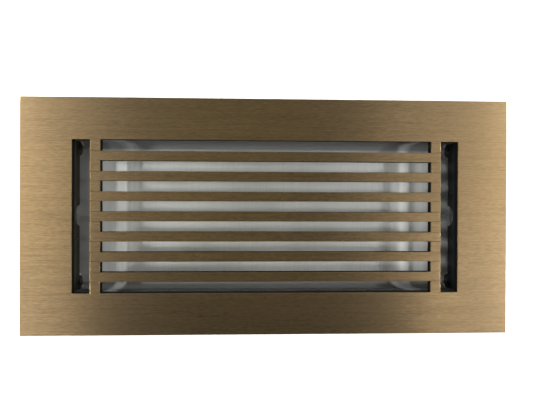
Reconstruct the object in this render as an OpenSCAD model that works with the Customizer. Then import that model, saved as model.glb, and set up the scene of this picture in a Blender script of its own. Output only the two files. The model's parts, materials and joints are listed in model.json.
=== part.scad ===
// Bar-type floor register for a 4 x 10 inch (101.6 x 254 mm) duct opening: a brass faceplate and
// bar grille, a sheet-metal collar that drops into the duct, and two damper flaps that swing down.
// X runs along the face, Y across it and Z up. Z = 0 is the collar's bottom rim, and the centre
// of the face lies on the Z axis.

/* [Faceplate] */
// Overall length of the faceplate
face_len = 295.3; // [285:0.1:310]
// Overall width of the faceplate
face_wid = 142.9; // [135:0.1:155]
// Thickness of the faceplate and of the grille bars
face_t = 4; // [3.5:0.1:6]
// Rounding on the top edges of the face and of the bars
edge_r = 0.4; // [0.1:0.05:0.6]
// Rounding of the faceplate's four corners, seen from above
corner_r = 0.8; // [0.5:0.1:2]

/* [Grille] */
// Length of the window along the face
window_len = 234; // [230:0.5:234]
// Width of one long bar
bar_w = 5.8; // [5.4:0.1:6]
// Clear width of the slot between two long bars
slot_w = 6.35; // [6:0.05:6.4]
// Clear width of the slot between a rail and the bar next to it
outer_slot_w = 6.8; // [6:0.05:6.9]
// Width of the cross bar at each end of the grille
end_bar_w = 6.2; // [5:0.1:8]
// Clear width of the open slot past each cross bar
end_slot_w = 10.55; // [9:0.05:14]

/* [Collar] */
// Outside length of the collar
collar_len = 249; // [249:0.1:252]
// Outside width of the collar
collar_wid = 99; // [99:0.1:100.4]
// Height of the collar below the faceplate
collar_h = 24; // [24:0.5:40]
// Thickness of the collar and flap sheet
sheet_t = 0.8; // [0.6:0.1:1]

/* [Damper] */
// Thickness of the end plates that carry the flaps
plate_t = 1; // [0.8:0.1:1.2]
// Distance from each end of the window out to the end plate
plate_setback = 1.5; // [0.5:0.1:1.6]
// Height of an end plate below the faceplate
plate_h = 10.7; // [10:0.1:11]
// Depth of the flap pivots below the faceplate
pivot_drop = 10.9; // [10.6:0.1:12]
// Radius of the round ears around the pivots
ear_r = 4.6; // [4:0.1:4.7]
// Radius of the round notch in the middle of an end plate's lower edge
notch_r = 6.6; // [5:0.1:7]
// Radius of a pivot pin
pin_r = 1.5; // [1.2:0.1:1.8]
// Radial running clearance between a flap's lug and its pin
pin_clearance = 0.06; // [0.03:0.01:0.1]
// Gap between the free edges of the closed flaps
flap_gap = 0.5; // [0.4:0.1:1]

/* [Hidden] */
$fn = 48;
bar_n = 7;
SIDES = ["front", "rear"];
ENDS = ["left", "right"];

BRASS = "#8f7246";
BLACK_STEEL = "#1f2224";
GALVANISED = "#9aa09f";
PLAIN_STEEL = "#b4b6b4";

// Grille
bar_pitch = bar_w + slot_w;
window_wid = (bar_n - 1) * slot_w + 2 * outer_slot_w + bar_n * bar_w;
bar_len = window_len - 2 * end_slot_w;
end_bar_x = (bar_len - end_bar_w) / 2;
tongue_len = 2.5;
tongue_t = face_t / 2;

// Collar
wall_x = collar_len / 2 - sheet_t;
wall_y = collar_wid / 2 - sheet_t;
groove_h = 1.2;
corner_tab_len = 8;
corner_tab_h = 10;
collar_rivet_r = 1.2;
collar_rivet_y = wall_y - corner_tab_len / 2;
collar_rivet_z = [for (k = [-1, 1]) collar_h - 6.5 + 2.5 * k];

// Damper: the end plates stand just outside the ends of the window
plate_x = window_len / 2 + plate_setback;
plate_half_wid = window_wid / 2 + 0.4;
pivot_z = collar_h - pivot_drop;
ear_gap = 0.4;
roll_in_r = ear_r + ear_gap;
roll_out_r = roll_in_r + sheet_t;
roll_clearance = 0.5;
pivot_y = wall_y - roll_out_r - roll_clearance;
flap_z = pivot_z - roll_out_r;
flap_top_z = flap_z + sheet_t;
end_gap = 0.3;
lug_x = plate_x + plate_t + end_gap;
roll_x = plate_x - 1;
heel_y = pivot_y + 2.5;
flap_end_x = wall_x - 1.1;
flap_end_y = pivot_y - 5.3;
lip_h = 3;
lip_x = end_bar_x - end_bar_w / 2;
stop_y = 20;
stop_wid = 6;
stop_x = plate_x + 2.9;

// Small fasteners
pin_head_r = 2.4;
pin_head_h = 0.6;
washer_t = 0.4;
washer_x = lug_x + sheet_t + end_gap;
pin_end_x = washer_x + washer_t;
rivet_y = 14.3;
rivet_z = collar_h - 5.8;
rivet_r = 0.9;
rivet_head_r = 1.3;
rivet_head_h = 0.5;
bracket_t = 1;
bracket_wid = 13;
bracket_y = 10.5;
bracket_web_wid = 7;
bracket_drop = 8.6;
screw_r = 1.25;
screw_head_r = 1.9;
screw_head_h = 1.4;
screw_slot_wid = 0.6;
screw_slot_depth = 0.6;
screw_len = 2.6;
screw_hole_spare = 0.4;
screw_y = bracket_y + bracket_wid - 3.5;
screw_x = wall_x - 0.2 - screw_head_r;
collar_rivet_head_r = 2;
collar_rivet_head_h = 0.6;
washer_r = pin_head_r - 0.1;

// Mirrors its children from the rear to the front, or from the right to the left
module to_side(side) { mirror([0, side == "front" ? 1 : 0, 0]) children(); }
module to_end(end) { mirror([end == "left" ? 1 : 0, 0, 0]) children(); }
module to_every_corner() {
    for (end = ENDS, side = SIDES) to_end(end) to_side(side) children();
}

// A round bar or hole along X, from x0 to x1
module rod_x(x0, x1, r, y, z) {
    translate([x0, y, z]) rotate([0, 90, 0]) cylinder(h = x1 - x0, r = r);
}

// ---- Brass faceplate and grille ----

// Section of a flat bar with its two top edges rounded, standing on y = 0
module eased_section(width) {
    half = width / 2;
    translate([-half, 0]) square([width, face_t - edge_r]);
    translate([edge_r - half, 0]) square([width - 2 * edge_r, face_t]);
    for (x = [edge_r - half, half - edge_r]) translate([x, face_t - edge_r]) circle(edge_r);
}

// Section of the window's cutter, which flares to leave a rounded edge round the window
module flared_section(width) {
    flare = width / 2 + edge_r;
    translate([-width / 2, -1]) square([width, face_t + 2]);
    difference() {
        translate([-flare, face_t - edge_r]) square([2 * flare, edge_r + 1]);
        for (x = [-flare, flare]) translate([x, face_t - edge_r]) circle(edge_r);
    }
}

// A flat brass piece at face height, with all four top edges rounded
module eased_slab(len, wid) {
    translate([0, 0, collar_h]) intersection() {
        rotate([90, 0, 90]) linear_extrude(len, center = true) eased_section(wid);
        rotate([90, 0, 0]) linear_extrude(wid, center = true) eased_section(len);
    }
}

// The faceplate before it is cut into rails and stiles
module face_slab() {
    intersection() {
        eased_slab(face_len, face_wid);
        linear_extrude(collar_h + face_t + 1) {
            square([face_len - 2 * corner_r, face_wid], center = true);
            square([face_len, face_wid - 2 * corner_r], center = true);
            for (x = [-1, 1], y = [-1, 1])
                translate([x * (face_len / 2 - corner_r), y * (face_wid / 2 - corner_r)]) circle(corner_r);
        }
    }
}

// Cutter for the window's two ends, which runs on past its sides
module window_ends_cutter() {
    translate([0, 0, collar_h]) rotate([90, 0, 0])
        linear_extrude(window_wid + 4, center = true) flared_section(window_len);
}

module window_cutter() {
    intersection() {
        window_ends_cutter();
        translate([0, 0, collar_h]) rotate([90, 0, 90])
            linear_extrude(window_len + 4, center = true) flared_section(window_wid);
    }
}

// Groove under the faceplate that the collar's top edge is soldered into
module collar_groove() {
    translate([0, 0, collar_h + groove_h / 2 - 0.5])
        difference() {
            cube([collar_len, collar_wid, groove_h + 1], center = true);
            cube([2 * wall_x, 2 * wall_y, groove_h + 2], center = true);
        }
}

// Tongue on a cross bar's end, and with some depth added below, the pocket for it
module tongue(depth_below = 0) {
    translate([end_bar_x - end_bar_w / 2, window_wid / 2, collar_h - depth_below])
        cube([end_bar_w, tongue_len, tongue_t + depth_below]);
}

module rail(side) {
    color(BRASS) to_side(side) difference() {
        face_slab();
        translate([-face_len, -face_wid, 0])
            cube([2 * face_len, face_wid + window_wid / 2, 2 * collar_h + face_t]);
        window_cutter();
        collar_groove();
        for (end = ENDS) to_end(end) tongue(1);
    }
}

module stile(end) {
    color(BRASS) to_end(end) difference() {
        intersection() {
            face_slab();
            translate([0, -window_wid / 2, 0]) cube([face_len, window_wid, 2 * collar_h + face_t]);
        }
        window_ends_cutter();
        collar_groove();
        for (side = SIDES) to_side(side)
            translate([screw_x, screw_y, collar_h - 1])
                cylinder(h = 1 + screw_len + screw_hole_spare, r = screw_r);
    }
}

// Cross bar: notched from above for each long bar, with a tongue under each rail
module end_bar(end) {
    color(BRASS) to_end(end) difference() {
        union() {
            translate([end_bar_x, 0, collar_h]) rotate([90, 0, 0])
                linear_extrude(window_wid, center = true) eased_section(end_bar_w);
            for (side = SIDES) to_side(side) tongue();
        }
        for (i = [1:bar_n])
            translate([end_bar_x, bar_y(i), collar_h + face_t])
                cube([end_bar_w + 2, bar_w, face_t], center = true);
    }
}

function bar_y(i) = (i - (bar_n + 1) / 2) * bar_pitch;

// Long bar: its ends are halved from below to lie over the cross bars
module grille_bar(i) {
    color(BRASS) translate([0, bar_y(i), 0]) difference() {
        eased_slab(bar_len, bar_w);
        for (end = ENDS) to_end(end)
            translate([end_bar_x - end_bar_w / 2, -bar_w, collar_h - 1])
                cube([end_bar_w + 1, 2 * bar_w, face_t / 2 + 1]);
    }
}

// ---- Collar ----

// Long wall with a tab inside each corner, riveted to the end wall
module collar_side(side) {
    color(GALVANISED) to_side(side) difference() {
        union() {
            translate([-collar_len / 2, wall_y, 0]) cube([collar_len, sheet_t, collar_h + groove_h]);
            for (end = ENDS) to_end(end)
                translate([wall_x - sheet_t, wall_y - corner_tab_len, collar_h - 1.5 - corner_tab_h])
                    cube([sheet_t, corner_tab_len, corner_tab_h]);
        }
        for (end = ENDS, z = collar_rivet_z) to_end(end)
            rod_x(wall_x - 2, wall_x + 1, collar_rivet_r, collar_rivet_y, z);
    }
}

// End wall, with a tab above each flap that the closed flap comes up against
module collar_end(end) {
    color(GALVANISED) to_end(end) difference() {
        union() {
            translate([wall_x, -wall_y, 0]) cube([sheet_t, 2 * wall_y, collar_h + groove_h]);
            for (side = SIDES) to_side(side)
                translate([stop_x, stop_y - stop_wid / 2, flap_top_z + end_gap])
                    cube([wall_x - stop_x, stop_wid, sheet_t]);
        }
        for (side = SIDES, z = collar_rivet_z) to_side(side)
            rod_x(wall_x - 1, wall_x + 2, collar_rivet_r, collar_rivet_y, z);
    }
}

// Rivets with a flat head inside the collar and a flush end outside
module collar_rivets() {
    color(PLAIN_STEEL) to_every_corner() for (z = collar_rivet_z) {
        rod_x(wall_x - sheet_t, wall_x + sheet_t, collar_rivet_r, collar_rivet_y, z);
        translate([-collar_rivet_head_h, 0, 0])
            rod_x(wall_x - sheet_t, wall_x - sheet_t + collar_rivet_head_h, collar_rivet_head_r,
                collar_rivet_y, z);
    }
}

// ---- Damper ----

// End plate: an ear for each pivot at its outer corners and a round notch in its lower edge
module damper_plate(end) {
    color(BLACK_STEEL) to_end(end) difference() {
        union() {
            translate([plate_x, -plate_half_wid, collar_h - plate_h])
                cube([plate_t, 2 * plate_half_wid, plate_h]);
            for (side = SIDES) to_side(side)
                rod_x(plate_x, plate_x + plate_t, ear_r, pivot_y, pivot_z);
        }
        rod_x(plate_x - 1, plate_x + plate_t + 1, notch_r, 0, collar_h - plate_h);
        for (side = SIDES) to_side(side) {
            rod_x(plate_x - 1, plate_x + plate_t + 1, pin_r, pivot_y, pivot_z);
            rod_x(plate_x - 1, plate_x + plate_t + 1, rivet_r, rivet_y, rivet_z);
        }
    }
}

// Angle bracket that holds an end plate under the stile
module bracket(end, side) {
    x0 = plate_x + plate_t;
    color(BLACK_STEEL) to_end(end) to_side(side) difference() {
        union() {
            translate([x0, bracket_y, collar_h - bracket_drop])
                cube([bracket_t, bracket_web_wid, bracket_drop]);
            translate([x0, bracket_y, collar_h - bracket_t])
                cube([wall_x - 0.2 - x0, bracket_wid, bracket_t]);
        }
        rod_x(x0 - 1, x0 + bracket_t + 1, rivet_r, rivet_y, rivet_z);
        translate([screw_x, screw_y, collar_h - 3]) cylinder(h = 4, r = screw_r);
    }
}

module plate_rivets() {
    x0 = plate_x;
    x1 = plate_x + plate_t + bracket_t;
    color(BLACK_STEEL) to_every_corner() {
        rod_x(x0, x1, rivet_r, rivet_y, rivet_z);
        rod_x(x0 - rivet_head_h, x0, rivet_head_r, rivet_y, rivet_z);
        rod_x(x1, x1 + rivet_head_h, rivet_head_r, rivet_y, rivet_z);
    }
}

module bracket_screws() {
    head_z = collar_h - bracket_t - screw_head_h;
    color(PLAIN_STEEL) to_every_corner() translate([screw_x, screw_y, head_z]) difference() {
        union() {
            cylinder(h = screw_head_h, r = screw_head_r);
            cylinder(h = screw_head_h + bracket_t + screw_len, r = screw_r);
        }
        translate([-screw_head_r, -screw_slot_wid / 2, -1])
            cube([2 * screw_head_r, screw_slot_wid, 1 + screw_slot_depth]);
    }
}

// Flap: a flat sheet under the ears, its hinge edge rolled up round the pivot axis, a lip on the
// free edge and a lug outside each end plate
module flap(side) {
    free_y = flap_gap / 2;
    lug_end_x = lug_x + sheet_t;
    color(GALVANISED) to_side(side) difference() {
        union() {
            translate([-lug_end_x, free_y, flap_z]) cube([2 * lug_end_x, heel_y - free_y, sheet_t]);
            translate([-flap_end_x, free_y, flap_z])
                cube([2 * flap_end_x, flap_end_y - free_y, sheet_t]);
            translate([-lip_x, free_y, flap_z]) cube([2 * lip_x, sheet_t, sheet_t + lip_h]);
            rolled_edge();
            for (end = ENDS) to_end(end) {
                translate([lug_x, pivot_y - ear_r, flap_z])
                    cube([sheet_t, heel_y - pivot_y + ear_r, pivot_z - flap_z]);
                rod_x(lug_x, lug_end_x, ear_r, pivot_y, pivot_z);
            }
        }
        for (end = ENDS) to_end(end)
            rod_x(lug_x - 0.1, lug_end_x + 1, pin_r + pin_clearance, pivot_y, pivot_z);
    }
}

// Quarter of a tube round the pivot axis, from straight below it to straight outside it
module rolled_edge() {
    intersection() {
        difference() {
            rod_x(-roll_x, roll_x, roll_out_r, pivot_y, pivot_z);
            rod_x(-roll_x - 1, roll_x + 1, roll_in_r, pivot_y, pivot_z);
        }
        translate([-roll_x, pivot_y, pivot_z - 2 * roll_out_r])
            cube([2 * roll_x, 2 * roll_out_r, 2 * roll_out_r]);
    }
}

// A head on each side, so that the pin holds the ear, the flap's lug and the friction washer
module pivot_pins() {
    color(BLACK_STEEL) to_every_corner() {
        rod_x(plate_x - pin_head_h, plate_x, pin_head_r, pivot_y, pivot_z);
        rod_x(plate_x, pin_end_x, pin_r, pivot_y, pivot_z);
        rod_x(pin_end_x, pin_end_x + pin_head_h, pin_head_r, pivot_y, pivot_z);
    }
}

module friction_washers() {
    color(PLAIN_STEEL) to_every_corner() difference() {
        rod_x(washer_x, washer_x + washer_t, washer_r, pivot_y, pivot_z);
        rod_x(washer_x - 1, washer_x + washer_t + 1, pin_r, pivot_y, pivot_z);
    }
}

for (side = SIDES) {
    rail(side);
    collar_side(side);
    flap(side);
}
for (end = ENDS) {
    stile(end);
    end_bar(end);
    collar_end(end);
    damper_plate(end);
}
for (i = [1:bar_n])
    grille_bar(i);
for (end = ENDS, side = SIDES)
    bracket(end, side);
pivot_pins();
friction_washers();
plate_rivets();
bracket_screws();
collar_rivets();
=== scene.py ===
"""Looks of a bar-type floor register in brushed antique brass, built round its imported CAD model.

X runs along the face, Y across it and Z up, in metres. Z is 0 at the collar's lower edge, where the
floor is. Places on the object come from the CAD model's boxes, and the sizes of the rivets, pins
and washers repeat its own. The camera comes from a fit to the face's outline in the photograph.
"""
import json
import math

import bmesh
import bpy
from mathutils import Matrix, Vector


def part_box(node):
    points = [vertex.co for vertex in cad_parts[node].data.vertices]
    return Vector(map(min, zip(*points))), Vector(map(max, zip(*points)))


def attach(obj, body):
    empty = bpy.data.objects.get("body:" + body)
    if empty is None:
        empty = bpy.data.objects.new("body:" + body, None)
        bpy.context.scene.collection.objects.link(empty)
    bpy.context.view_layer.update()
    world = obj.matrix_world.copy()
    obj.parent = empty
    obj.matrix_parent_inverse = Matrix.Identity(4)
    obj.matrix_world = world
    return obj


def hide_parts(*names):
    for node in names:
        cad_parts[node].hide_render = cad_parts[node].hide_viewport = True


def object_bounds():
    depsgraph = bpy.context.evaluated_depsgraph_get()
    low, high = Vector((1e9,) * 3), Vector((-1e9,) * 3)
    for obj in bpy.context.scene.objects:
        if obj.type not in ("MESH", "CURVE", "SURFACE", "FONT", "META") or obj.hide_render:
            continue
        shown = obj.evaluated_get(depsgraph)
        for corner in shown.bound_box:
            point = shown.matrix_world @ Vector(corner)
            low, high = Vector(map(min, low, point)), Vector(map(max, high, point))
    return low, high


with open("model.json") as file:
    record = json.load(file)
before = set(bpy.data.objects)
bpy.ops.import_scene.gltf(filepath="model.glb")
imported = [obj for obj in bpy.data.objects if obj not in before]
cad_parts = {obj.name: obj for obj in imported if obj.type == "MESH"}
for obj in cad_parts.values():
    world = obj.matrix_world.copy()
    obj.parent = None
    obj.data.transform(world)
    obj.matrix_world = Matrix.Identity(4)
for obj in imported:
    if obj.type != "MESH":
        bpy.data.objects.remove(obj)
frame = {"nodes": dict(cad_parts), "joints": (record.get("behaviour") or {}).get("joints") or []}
cad_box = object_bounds()

MM = 0.001
NODES = frame["nodes"]
BRASS_NODES = [n for n in NODES if n.startswith(("grille_bar_", "rail_", "stile_", "end_bar_"))]
BLACK_NODES = [n for n in NODES if n.startswith(("damper_plate_", "bracket_left", "bracket_right"))]
COLLAR_NODES = ["collar_front", "collar_rear", "collar_left", "collar_right"]
FLAP_NODES = ["flap_front", "flap_rear"]

# Places read from the CAD model
FACE_TOP = cad_box[1].z
FACE_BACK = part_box("rail_front")[0].z
FACE_HALF = Vector((cad_box[1].x, cad_box[1].y, 0))
COLLAR_HALF = Vector((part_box("collar_right")[1].x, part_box("collar_rear")[1].y, 0))
WINDOW_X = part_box("stile_right")[0].x
WINDOW_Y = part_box("rail_rear")[0].y
PLATE_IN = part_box("damper_plate_right")[0].x
PLATE_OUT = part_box("damper_plate_right")[1].x
PIVOT = Vector(next(j for j in frame["joints"] if j["child"] == "flap_rear")["pos_m"])
PIN_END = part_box("friction_washers")[1].x

# Rivets that hold the black end plates to their brackets. A shank, a head and a washer's rims are
# given by radius. A rise is the height of a domed head.
BRACKET_THICK = 1.0 * MM
PLATE_RIVET_SHANK = 0.9 * MM
PLATE_RIVET_HEAD = 1.3 * MM
PLATE_RIVET_RISE = 0.5 * MM
PLATE_RIVET_Y = 14.3 * MM
PLATE_RIVET_Z = FACE_BACK - 5.8 * MM

# Pins that the flaps turn on, and the waved friction washer at the end of each
PIN_SHANK = 1.5 * MM
PIN_HEAD = 2.4 * MM
PIN_RISE = 0.6 * MM
WASHER_OUTER = 2.3 * MM
WASHER_INNER = 1.55 * MM
WASHER_THICK = 0.22 * MM
WASHER_WAVE = 0.09 * MM
WASHER_SPACE = WASHER_THICK + 2 * WASHER_WAVE

# Rivets in the collar's corners, through two layers of sheet, at heights above its lower edge
COLLAR_RIVET_SHANK = 1.2 * MM
COLLAR_RIVET_HEAD = 2.0 * MM
COLLAR_RIVET_RISE = 0.6 * MM
COLLAR_RIVET_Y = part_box("collar_rivets")[1].y - COLLAR_RIVET_HEAD
COLLAR_RIVET_HEIGHTS = {"lower": 15 * MM, "upper": 20 * MM}
TWO_SHEETS = 1.6 * MM

# The solder bead's average reach from the corner that it fills
SOLDER_SIZE = 1.1 * MM
SCREW_ROUNDING = 0.2 * MM
# An edge that bends by more than this stays sharp in a smooth surface
SHARP_EDGE = math.radians(40)

# Lamps hang this far above the face
LAMP_HEIGHT = 0.9
WHITE = (1.0, 1.0, 1.0)
WARM = (1.0, 1.0, 0.76)


# ---------------------------------------------------------------- camera, light and floor

def make_camera():
    """A phone held over the face, a little to the left of its middle, from a fit to its outline."""
    from_middle_x = -0.01247
    from_middle_y = 0.01058
    height = 0.23375
    turn_degrees = (-0.109, -1.725, 0.183)
    data = bpy.data.cameras.new("camera")
    data.lens = 26.107
    data.sensor_width = 36
    data.shift_x = 0.01475
    data.shift_y = -0.0001
    data.clip_start = 0.01
    camera = bpy.data.objects.new("camera", data)
    camera.location = (from_middle_x, from_middle_y, FACE_TOP + height)
    camera.rotation_euler = [math.radians(angle) for angle in turn_degrees]
    bpy.context.scene.collection.objects.link(camera)
    bpy.context.scene.camera = camera


def make_lamp(name, place, size, radiance, tint=WHITE):
    """A rectangular lamp of the given radiance at lamp height, facing straight down."""
    data = bpy.data.lights.new(name, "AREA")
    data.shape = "RECTANGLE"
    data.size, data.size_y = size
    data.energy = radiance * size[0] * size[1] * math.pi
    data.color = tint
    light = bpy.data.objects.new(name, data)
    light.location = (place[0], place[1], FACE_TOP + LAMP_HEIGHT)
    light.visible_camera = False
    bpy.context.scene.collection.objects.link(light)


def make_lights():
    """Small bright lamps far out to each side, dimmer strips mostly further in, and panels overhead.

    Brushed brass spreads a lamp's reflection out across the brushing. A lamp's place along X says
    which part of the face's length it lights, and its brightness says how much.

    Most of the brightnesses were not chosen by hand. A least-squares fit of the lamps to the
    photograph gave them. A few were then changed, and all were rounded.
    """
    make_lamp("left_rear_lamp", (-1.03, 0.58), (0.10, 0.25), 350.0)
    make_lamp("left_front_lamp", (-1.24, -0.62), (0.10, 0.30), 195.0)
    make_lamp("left_far_lamp", (-1.46, -0.75), (0.10, 0.50), 165.0)
    make_lamp("left_near_lamp", (-0.78, -0.90), (0.15, 0.25), 17.5)
    make_lamp("left_front_strip", (-0.90, -0.55), (0.10, 0.90), 12.5)
    make_lamp("left_far_strip", (-1.60, -0.55), (0.10, 0.90), 25.0)
    make_lamp("left_long_strip", (-0.74, 0.10), (0.10, 1.50), 0.80)
    make_lamp("left_middle_strip", (-0.64, -0.02), (0.10, 0.30), 2.2)
    make_lamp("left_inner_strip", (-0.58, 0.00), (0.10, 2.00), 1.4)
    make_lamp("left_inner_rear_strip", (-0.44, 0.55), (0.10, 0.90), 0.60)
    make_lamp("left_dim_rear_strip", (-0.30, 0.55), (0.10, 0.90), 0.24)

    make_lamp("right_rear_lamp", (1.14, 0.62), (0.10, 0.30), 170.0)
    make_lamp("right_front_lamp", (1.25, -0.58), (0.10, 0.25), 215.0)
    make_lamp("right_far_rear_lamp", (1.46, 0.90), (0.10, 0.25), 600.0)
    make_lamp("right_middle_lamp", (1.14, -0.27), (0.10, 0.25), 130.0)
    make_lamp("right_front_strip", (0.90, -0.55), (0.10, 0.90), 3.9)
    make_lamp("right_long_strip", (0.76, 0.10), (0.10, 1.60), 1.5)
    make_lamp("right_middle_strip", (0.70, -0.02), (0.10, 0.30), 1.2)
    make_lamp("right_inner_front_strip", (0.58, -0.55), (0.10, 0.90), 2.8)
    make_lamp("right_inner_rear_strip", (0.58, 0.55), (0.10, 0.90), 1.3)
    make_lamp("right_dim_rear_strip", (0.44, 0.55), (0.10, 0.90), 1.1)
    make_lamp("right_dimmer_rear_strip", (0.30, 0.55), (0.10, 0.90), 0.27)

    make_lamp("overhead_left", (-0.45, 0.08), (0.30, 0.06), 1.5)
    make_lamp("overhead_left_front", (-0.45, -0.06), (0.30, 0.06), 1.0)
    make_lamp("overhead_left_inner", (-0.20, -0.02), (0.19, 0.14), 0.97, WARM)
    make_lamp("overhead_middle", (0.00, 0.01), (0.22, 0.08), 0.70, WARM)
    make_lamp("overhead_right_inner", (0.15, -0.06), (0.30, 0.06), 0.26, WARM)
    make_lamp("overhead_right", (0.45, -0.06), (0.30, 0.06), 2.8)
    make_lamp("rear_panel", (0.00, 0.32), (0.99, 0.27), 0.43, WARM)
    make_lamp("front_panel", (0.09, -0.18), (0.40, 0.14), 0.28, WARM)


def make_world():
    """A dim, even white sky."""
    world = bpy.data.worlds.new("studio")
    world.use_nodes = True
    background = world.node_tree.nodes["Background"]
    background.inputs["Color"].default_value = (1, 1, 1, 1)
    background.inputs["Strength"].default_value = 0.12
    bpy.context.scene.world = world
    bpy.context.scene.view_settings.view_transform = "Standard"


def make_floor():
    """A pale floor that glows a little, so that no shadow shows round the face.

    It glows less inside the collar, where the glow would show as a line between the flaps.
    """
    half = 3.0
    glow_outside = 0.22
    glow_inside = 0.05
    corners = [(-half, -half, 0), (half, -half, 0), (half, half, 0), (-half, half, 0)]
    mesh = bpy.data.meshes.new("floor")
    mesh.from_pydata(corners, [], [(0, 1, 2, 3)])
    floor = bpy.data.objects.new("floor", mesh)
    bpy.context.scene.collection.objects.link(floor)
    material = new_material("pale_floor")
    g = Graph(material)
    g.set("Base Color", (0.86, 0.86, 0.855, 1))
    g.set("Roughness", 0.9)
    g.set("Emission Color", (1, 1, 1, 1))
    in_collar = g.math("MULTIPLY", g.within("X", COLLAR_HALF.x), g.within("Y", COLLAR_HALF.y))
    g.feed("Emission Strength", g.ramp(in_collar, 0, 1, glow_outside, glow_inside))
    mesh.materials.append(material)


# ---------------------------------------------------------------- node helpers

def new_material(name):
    material = bpy.data.materials.new(name)
    material.use_nodes = True
    return material


class Graph:
    """Short names for the shader nodes that the materials use. Patterns are fixed to the piece."""

    def __init__(self, material):
        self.tree = material.node_tree
        self.shader = self.tree.nodes["Principled BSDF"]
        self.place = self.add("ShaderNodeTexCoord").outputs["Object"]

    def add(self, kind, **settings):
        node = self.tree.nodes.new(kind)
        for key, value in settings.items():
            setattr(node, key, value)
        return node

    def link(self, source, target):
        self.tree.links.new(source, target)

    def set(self, name, value):
        """Sets one of the shader's own sockets to a value."""
        self.shader.inputs[name].default_value = value

    def feed(self, name, source):
        """Links a node's output to one of the shader's own sockets."""
        self.link(source, self.shader.inputs[name])

    def noise(self, scale, detail=2.0, roughness=0.5, offset=(0, 0, 0)):
        """Noise from 0 to 1 with its own scale along each axis, in cycles per metre."""
        mapping = self.add("ShaderNodeMapping")
        mapping.inputs["Scale"].default_value = scale
        mapping.inputs["Location"].default_value = offset
        self.link(self.place, mapping.inputs["Vector"])
        node = self.add("ShaderNodeTexNoise")
        node.inputs["Scale"].default_value = 1.0
        node.inputs["Detail"].default_value = detail
        node.inputs["Roughness"].default_value = roughness
        self.link(mapping.outputs["Vector"], node.inputs["Vector"])
        return node.outputs["Fac"]

    def math(self, operation, a, b=0.0):
        node = self.add("ShaderNodeMath", operation=operation)
        for socket, value in zip(node.inputs, (a, b)):
            if isinstance(value, (int, float)):
                socket.default_value = value
            else:
                self.link(value, socket)
        return node.outputs[0]

    def weigh(self, *parts):
        """The sum of (source, weight) pairs."""
        terms = [self.math("MULTIPLY", source, weight) for source, weight in parts]
        total = terms[0]
        for term in terms[1:]:
            total = self.math("ADD", total, term)
        return total

    def ramp(self, value, low, high, out_low=0.0, out_high=1.0):
        """The value's place between low and high, held at both ends, as out_low to out_high."""
        node = self.add("ShaderNodeMapRange")
        node.inputs["From Min"].default_value = low
        node.inputs["From Max"].default_value = high
        node.inputs["To Min"].default_value = out_low
        node.inputs["To Max"].default_value = out_high
        self.link(value, node.inputs["Value"])
        return node.outputs["Result"]

    def mix(self, factor, a, b):
        """Colour a at factor 0 and colour b at factor 1."""
        node = self.add("ShaderNodeMix", data_type="RGBA")
        colour_a, colour_b, colour_out = node.inputs[6], node.inputs[7], node.outputs[2]
        for socket, value in ((node.inputs["Factor"], factor), (colour_a, a), (colour_b, b)):
            if isinstance(value, tuple):
                socket.default_value = (*value, 1)
            elif isinstance(value, (int, float)):
                socket.default_value = value
            else:
                self.link(value, socket)
        return colour_out

    def axis(self, vector, name):
        node = self.add("ShaderNodeSeparateXYZ")
        self.link(vector, node.inputs[0])
        return node.outputs[name]

    def off_centre(self, name):
        """Distance from the object's middle along one axis."""
        return self.math("ABSOLUTE", self.axis(self.place, name))

    def within(self, name, limit):
        """1 where the distance from the middle along one axis is under the limit, 0 past it."""
        return self.math("LESS_THAN", self.off_centre(name), limit)

    def bump(self, height, distance, strength=1.0, normal=None):
        node = self.add("ShaderNodeBump")
        node.inputs["Distance"].default_value = distance
        node.inputs["Strength"].default_value = strength
        self.link(height, node.inputs["Height"])
        if normal is not None:
            self.link(normal, node.inputs["Normal"])
        return node.outputs["Normal"]


# ---------------------------------------------------------------- materials

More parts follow.
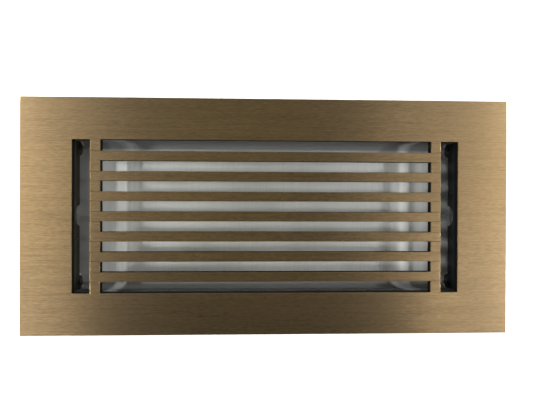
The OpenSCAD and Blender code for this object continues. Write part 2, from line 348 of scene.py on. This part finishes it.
def brushed_brass():
    """Antique brass: brushed along X on top, with painted shade, near black, on the cut sides of window
    and bars.

    Small bevels that look away from the middle along X, towards the side lamps, carry a painted highlight
    in worn-brass colour, patchy like wear; those that look towards it carry painted shade, and the rest
    lie between. The joint between rail and stile is a thin dark line.
    """
    groove = (0.140, 0.093, 0.042)
    ridge = (0.300, 0.204, 0.098)
    tarnish = (0.232, 0.153, 0.069)
    painted_side_shade = (0.003, 0.0024, 0.0018)
    shaded_edge_colour = (0.07, 0.05, 0.026)
    worn_edge_highlight = (0.50, 0.37, 0.18)
    seam_dirt = (0.03, 0.022, 0.014)
    face_margin = 1 * MM
    seam_half = 0.16 * MM
    seam_core = 0.04 * MM
    material = new_material("brushed_antique_brass")
    g = Graph(material)

    fine = g.noise((40, 2600, 400), detail=3, roughness=0.6)
    short = g.noise((260, 1500, 400), roughness=0.6, offset=(2, 6, 1))
    broad = g.noise((12, 420, 60), offset=(3, 1, 0))
    cloud = g.noise((16, 22, 20), detail=3, roughness=0.55, offset=(7, 2, 5))
    streak = g.ramp(g.weigh((fine, 0.42), (broad, 0.16), (short, 0.42)), 0.36, 0.64)
    body = g.mix(streak, groove, ridge)
    body = g.mix(g.ramp(cloud, 0.35, 0.7, 0.0, 0.35), body, tarnish)

    geometry = g.add("ShaderNodeNewGeometry")
    flat_normal = geometry.outputs["True Normal"]
    up = g.math("ABSOLUTE", g.axis(flat_normal, "Z"))
    in_x = g.within("X", FACE_HALF.x - face_margin)
    in_y = g.within("Y", FACE_HALF.y - face_margin)
    cut_side = g.math("MULTIPLY", g.ramp(up, 0.6, 0.3), g.math("MULTIPLY", in_x, in_y))
    # Faces that do not look up, the cut sides, are painted near black: painted shade.
    body = g.mix(cut_side, body, painted_side_shade)

    bevel = g.math("MULTIPLY", g.ramp(up, 0.995, 0.94), g.ramp(up, 0.15, 0.45))
    facing = g.math("MULTIPLY", g.axis(flat_normal, "X"), g.axis(g.place, "X"))
    outward = g.ramp(facing, -10 * MM, 10 * MM)
    # Bevels that look towards the middle along X are darkened: painted shade.
    edge_shade = g.math("MULTIPLY", bevel, g.ramp(outward, 0, 1, 0.6, 0.0))
    body = g.mix(edge_shade, body, shaded_edge_colour)
    # Bevels that look away from the middle along X, towards the side lamps, get worn-brass colour: a
    # painted highlight, made patchy like wear by the rub noise.
    rub = g.noise((90, 90, 400), roughness=0.6, offset=(1, 4, 2))
    wear_and_highlight = g.math("MULTIPLY", g.math("MULTIPLY", bevel, outward), g.ramp(rub, 0.3, 0.7, 0.45, 0.85))
    colour = g.mix(wear_and_highlight, body, worn_edge_highlight)

    from_seam = g.math("ABSOLUTE", g.math("SUBTRACT", g.off_centre("Y"), WINDOW_Y))
    past_window = g.math("GREATER_THAN", g.off_centre("X"), WINDOW_X)
    seam = g.math("MULTIPLY", g.ramp(from_seam, seam_half, seam_core), past_window)
    g.feed("Base Color", g.mix(g.math("MULTIPLY", seam, 0.35), colour, seam_dirt))

    g.feed("Metallic", g.ramp(cut_side, 0, 1, 1.0, 0.0))
    g.set("Specular IOR Level", 0.1)
    satin = g.ramp(streak, 0, 1, 0.33, 0.27)
    g.feed("Roughness", g.math("ADD", satin, g.math("MULTIPLY", cut_side, 0.55)))
    g.feed("Coat Weight", g.ramp(cut_side, 0, 1, 0.25, 0.0))
    g.set("Coat Roughness", 0.35)
    g.set("Anisotropic", 0.7)
    # The tangent lies across the brushing. The small Z part gives faces that look along X one too.
    tangent = g.add("ShaderNodeVectorMath", operation="CROSS_PRODUCT")
    tangent.inputs[1].default_value = (1, 0, 0.05)
    g.link(geometry.outputs["Normal"], tangent.inputs[0])
    g.feed("Tangent", tangent.outputs["Vector"])
    g.feed("Normal", g.bump(streak, 0.006 * MM))
    return material


def zinc_sheet():
    """The flaps' zinc-coated sheet: satin, faintly wavy, with fine rolling lines.

    Past the pivot, where the sheet is rolled up, it is duller, and darker with painted shade.
    """
    dim_zinc = (0.48, 0.489, 0.473)
    bright_zinc = (0.57, 0.577, 0.560)
    shaded_rolled_zinc = (0.20, 0.205, 0.20)
    material = new_material("satin_zinc_sheet")
    g = Graph(material)
    rolling = g.noise((900, 12, 12))
    cloud = g.noise((30, 45, 45), detail=3, roughness=0.6, offset=(2, 9, 4))
    tone = g.ramp(g.weigh((rolling, 0.35), (cloud, 0.65)), 0.35, 0.65)
    rolled = g.ramp(g.off_centre("Y"), PIVOT.y - 0.5 * MM, PIVOT.y + 1.0 * MM)
    # Past the pivot the colour is darkened: painted shade on the rolled edge under the rails.
    g.feed("Base Color", g.mix(rolled, g.mix(tone, dim_zinc, bright_zinc), shaded_rolled_zinc))
    g.feed("Metallic", g.ramp(rolled, 0, 1, 0.67, 0.25))
    g.set("Specular IOR Level", 0.2)
    satin = g.ramp(cloud, 0.3, 0.7, 0.34, 0.42)
    g.feed("Roughness", g.math("ADD", satin, g.math("MULTIPLY", rolled, 0.40)))
    wave = g.noise((22, 14, 14), detail=1, roughness=0.4, offset=(5, 5, 1))
    wavy = g.bump(wave, 0.25 * MM, 0.6)
    g.feed("Normal", g.bump(rolling, 0.002 * MM, 0.6, wavy))
    return material


def spangled_zinc():
    """Hot-dipped zinc on the collar: crystal spangles in slightly different greys."""
    spangles_per_metre = 190
    material = new_material("spangled_zinc")
    g = Graph(material)
    cells = g.add("ShaderNodeTexVoronoi")
    cells.inputs["Scale"].default_value = spangles_per_metre
    g.link(g.place, cells.inputs["Vector"])
    spangle = g.axis(cells.outputs["Color"], "X")
    cloud = g.noise((40, 40, 40), detail=3, roughness=0.6, offset=(6, 2, 3))
    tone = g.weigh((spangle, 0.6), (cloud, 0.4))
    g.feed("Base Color", g.mix(tone, (0.25, 0.257, 0.254), (0.50, 0.507, 0.50)))
    g.set("Metallic", 0.85)
    g.feed("Roughness", g.ramp(spangle, 0, 1, 0.30, 0.48))
    g.feed("Normal", g.bump(cloud, 0.08 * MM, 0.5))
    return material


def black_steel():
    """Satin black paint over steel, with fine orange peel and dust, and a painted warm brass reflection at
    its left end.
    """
    left_paint_with_brass_glow = (0.024, 0.022, 0.0125)
    left_dust_with_brass_glow = (0.036, 0.033, 0.0200)
    right_paint = (0.0035, 0.0050, 0.0058)
    right_dust = (0.0062, 0.0078, 0.0082)
    material = new_material("satin_black_steel")
    g = Graph(material)
    peel = g.noise((1800, 1800, 1800))
    cloud = g.noise((60, 60, 60), detail=3, roughness=0.6)
    # Towards the left end the paint and dust turn lighter and browner: a painted warm reflection of the
    # brass.
    right_end = g.ramp(g.axis(g.place, "X"), -10 * MM, 10 * MM)
    paint = g.mix(right_end, left_paint_with_brass_glow, right_paint)
    dust = g.mix(right_end, left_dust_with_brass_glow, right_dust)
    g.feed("Base Color", g.mix(g.ramp(cloud, 0.35, 0.7), paint, dust))
    g.set("Specular IOR Level", 0.10)
    g.feed("Roughness", g.ramp(cloud, 0.3, 0.7, 0.38, 0.52))
    g.feed("Normal", g.bump(peel, 0.006 * MM, 0.7))
    return material


def black_rivet():
    """Blacked steel of the plate rivets and pins, glossier and darker than the painted plates."""
    material = new_material("blacked_steel_rivet")
    g = Graph(material)
    cloud = g.noise((700, 700, 700), detail=3, roughness=0.6)
    g.feed("Base Color", g.mix(cloud, (0.001, 0.001, 0.001), (0.004, 0.004, 0.004)))
    g.set("Specular IOR Level", 0.18)
    g.feed("Roughness", g.ramp(cloud, 0.3, 0.7, 0.28, 0.40))
    g.feed("Normal", g.bump(cloud, 0.01 * MM, 0.5))
    return material


def plain_steel():
    """Bright zinc plating on the screws, washers and collar rivets."""
    material = new_material("bright_zinc_fastener")
    g = Graph(material)
    cloud = g.noise((500, 500, 500), detail=3, roughness=0.6)
    g.feed("Base Color", g.mix(cloud, (0.42, 0.42, 0.41), (0.62, 0.62, 0.60)))
    g.set("Metallic", 1.0)
    g.feed("Roughness", g.ramp(cloud, 0.3, 0.7, 0.25, 0.42))
    g.feed("Normal", g.bump(cloud, 0.01 * MM, 0.5))
    return material


def dull_solder():
    """Grey solder, drawn smooth by the iron."""
    material = new_material("dull_solder")
    g = Graph(material)
    cloud = g.noise((260, 260, 260), detail=3, roughness=0.6, offset=(4, 1, 8))
    g.feed("Base Color", g.mix(cloud, (0.33, 0.33, 0.32), (0.50, 0.50, 0.48)))
    g.set("Metallic", 1.0)
    g.feed("Roughness", g.ramp(cloud, 0.3, 0.7, 0.30, 0.50))
    g.feed("Normal", g.bump(cloud, 0.05 * MM, 0.6))
    return material


def dress(names, material):
    """Gives CAD nodes a material."""
    for name in names:
        slots = NODES[name].data.materials
        slots.clear()
        slots.append(material)


# ---------------------------------------------------------------- pieces built from meshes

def dome(radius, rise, base, steps=6):
    """(radius, height) pairs from a rim at the height base up to a dome's tip."""
    sphere = (radius ** 2 + rise ** 2) / (2 * rise)
    sweep = math.asin(min(1, radius / sphere))
    angles = [sweep * (1 - k / steps) for k in range(steps)]
    curve = [(sphere * math.sin(a), base + rise - sphere * (1 - math.cos(a))) for a in angles]
    return curve + [(0, base + rise)]


def domed_head(radius, rise):
    """(radius, height) pairs of a head that hangs below the height 0, from its tip to its rim."""
    return [(r, -height) for r, height in reversed(dome(radius, rise, 0))]


def double_headed(shank, head, rise, length):
    """Section of a rivet or pin along its axis, from the tip of one domed head to the other's."""
    return domed_head(head, rise) + [(shank, 0), (shank, length)] + dome(head, rise, length)


def single_headed(shank, head, rise, length):
    """Section of a rivet whose tail is flush, with a shallow dimple in its end."""
    dimple = [
        (1.0 * MM, length),
        (0.5 * MM, length - 0.15 * MM),
        (0, length - 0.2 * MM),
    ]
    return domed_head(head, rise) + [(shank, 0), (shank, length)] + dimple


def turned(profile, steps=36):
    """A mesh turned about its Z axis from (radius, height) pairs that start and end on the axis."""
    mesh = bmesh.new()
    rings = []
    for radius, height in profile:
        count = steps if radius > 0 else 1
        turns = [math.tau * k / steps for k in range(count)]
        ring = [mesh.verts.new((radius * math.cos(t), radius * math.sin(t), height)) for t in turns]
        rings.append(ring)
    for low, high in zip(rings, rings[1:]):
        for k in range(steps):
            low_pair = [low[k % len(low)], low[(k + 1) % len(low)]]
            high_pair = [high[(k + 1) % len(high)], high[k % len(high)]]
            mesh.faces.new(list(dict.fromkeys(low_pair + high_pair)))
    return mesh


def join_rings(mesh, rings):
    """Faces between each closed section and the next, and between the last and the first."""
    for this, after in zip(rings, rings[1:] + rings[:1]):
        for k in range(len(this)):
            k_next = (k + 1) % len(this)
            mesh.faces.new((this[k], after[k], after[k_next], this[k_next]))


def waved_washer(outer, inner, thick, rise, waves=3, steps=72):
    """A spring washer with waves in it, between the heights 0 and thick + 2 * rise."""
    mesh = bmesh.new()
    section = [(outer, 0), (outer, thick), (inner, thick), (inner, 0)]
    rings = []
    for k in range(steps):
        turn = math.tau * k / steps
        lift = rise * (1 + math.sin(waves * turn))
        ring = [mesh.verts.new((r * math.cos(turn), r * math.sin(turn), h + lift)) for r, h in section]
        rings.append(ring)
    join_rings(mesh, rings)
    return mesh


def path_round(half_x, half_y, pitch, bend_steps):
    """(x, y, outward angle) along a rectangle's sides, with the corners' angles stepped through."""
    sides = [
        (0, (half_x, -half_y), 2 * half_y),
        (90, (half_x, half_y), 2 * half_x),
        (180, (-half_x, half_y), 2 * half_y),
        (270, (-half_x, -half_y), 2 * half_x),
    ]
    path = []
    for degrees, (x, y), length in sides:
        angle = math.radians(degrees)
        count = round(length / pitch)
        for k in range(count + 1):
            step = length * k / count
            path.append((x - step * math.sin(angle), y + step * math.cos(angle), angle))
        corner_x = x - length * math.sin(angle)
        corner_y = y + length * math.cos(angle)
        for k in range(1, bend_steps):
            path.append((corner_x, corner_y, angle + math.pi / 2 * k / bend_steps))
    return path


def fillet_bead(half_x, half_y, top, size, pitch=2 * MM, bend_steps=6, section_steps=5):
    """A hollow-faced solder bead round a rectangle, hanging from the height top, a little uneven."""
    curve = [math.pi / 2 * n / section_steps for n in range(section_steps + 1)]
    mesh = bmesh.new()
    rings = []
    for k, (x, y, angle) in enumerate(path_round(half_x, half_y, pitch, bend_steps)):
        swell = 1 + 0.10 * math.sin(0.9 * k) + 0.08 * math.sin(2.3 * k + 1) + 0.05 * math.sin(5.1 * k + 2)
        reach = size * swell
        section = [(reach * (1 - math.sin(c)), -reach * (1 - math.cos(c))) for c in curve]
        section.append((0, 0))
        ring = []
        for out, down in section:
            ring.append(mesh.verts.new((x + out * math.cos(angle), y + out * math.sin(angle), top + down)))
        rings.append(ring)
    join_rings(mesh, rings)
    return mesh


def add_piece(name, mesh, material, stands_for=(), along_x=0, place=(0, 0, 0)):
    """A named piece that rides on the frame. along_x turns its Z axis towards +X (1) or -X (-1)."""
    bmesh.ops.recalc_face_normals(mesh, faces=mesh.faces)
    for face in mesh.faces:
        face.smooth = True
    for edge in mesh.edges:
        edge.smooth = len(edge.link_faces) == 2 and edge.calc_face_angle(0) < SHARP_EDGE
    data = bpy.data.meshes.new(name)
    mesh.to_mesh(data)
    mesh.free()
    data.materials.append(material)
    piece = bpy.data.objects.new(name, data)
    bpy.context.scene.collection.objects.link(piece)
    piece.location = place
    piece.rotation_euler = (0, along_x * math.pi / 2, 0)
    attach(piece, "frame")
    if stands_for:
        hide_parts(*stands_for)


def soften(name, radius):
    """Rounds the sharp edges of a CAD node."""
    weld = NODES[name].modifiers.new("weld", "WELD")
    weld.merge_threshold = 0.001 * MM
    bevel = NODES[name].modifiers.new("edge_rounding", "BEVEL")
    bevel.width = radius
    bevel.segments = 2
    bevel.limit_method = "ANGLE"
    bevel.angle_limit = SHARP_EDGE


def add_corner(end, side, x_sign, y_sign, black, steel):
    """The small parts at one corner: plate rivet, pivot pin, friction washer and collar rivets."""
    corner = f"{end}_{side}"
    rivet_length = PLATE_OUT + BRACKET_THICK - PLATE_IN
    rivet = turned(double_headed(PLATE_RIVET_SHANK, PLATE_RIVET_HEAD, PLATE_RIVET_RISE, rivet_length))
    rivet_place = (x_sign * PLATE_IN, y_sign * PLATE_RIVET_Y, PLATE_RIVET_Z)
    add_piece(f"plate_rivet_{corner}", rivet, black,
              ["plate_rivets"], x_sign, rivet_place)

    pin = turned(double_headed(PIN_SHANK, PIN_HEAD, PIN_RISE, PIN_END - PLATE_IN))
    pin_place = (x_sign * PLATE_IN, y_sign * PIVOT.y, PIVOT.z)
    add_piece(f"pivot_pin_{corner}", pin, black,
              ["pivot_pins"], x_sign, pin_place)

    washer = waved_washer(WASHER_OUTER, WASHER_INNER, WASHER_THICK, WASHER_WAVE)
    washer_place = (x_sign * (PIN_END - WASHER_SPACE), y_sign * PIVOT.y, PIVOT.z)
    add_piece(f"friction_washer_{corner}", washer, steel,
              ["friction_washers"], x_sign, washer_place)

    for level, height in COLLAR_RIVET_HEIGHTS.items():
        profile = single_headed(COLLAR_RIVET_SHANK, COLLAR_RIVET_HEAD, COLLAR_RIVET_RISE, TWO_SHEETS)
        place = (x_sign * (COLLAR_HALF.x - TWO_SHEETS), y_sign * COLLAR_RIVET_Y, height)
        add_piece(f"collar_rivet_{corner}_{level}", turned(profile), steel,
                  ["collar_rivets"], x_sign, place)


# ---------------------------------------------------------------- the scene

make_camera()
make_lights()
make_world()
make_floor()

fastener_steel = plain_steel()
fastener_black = black_rivet()
dress(BRASS_NODES, brushed_brass())
dress(FLAP_NODES, zinc_sheet())
dress(COLLAR_NODES, spangled_zinc())
dress(BLACK_NODES, black_steel())
dress(["bracket_screws"], fastener_steel)
soften("bracket_screws", SCREW_ROUNDING)

for x_sign, end in ((-1, "left"), (1, "right")):
    for y_sign, side in ((-1, "front"), (1, "rear")):
        add_corner(end, side, x_sign, y_sign, fastener_black, fastener_steel)
solder_bead = fillet_bead(COLLAR_HALF.x, COLLAR_HALF.y, FACE_BACK, SOLDER_SIZE)
add_piece("collar_solder", solder_bead, dull_solder())
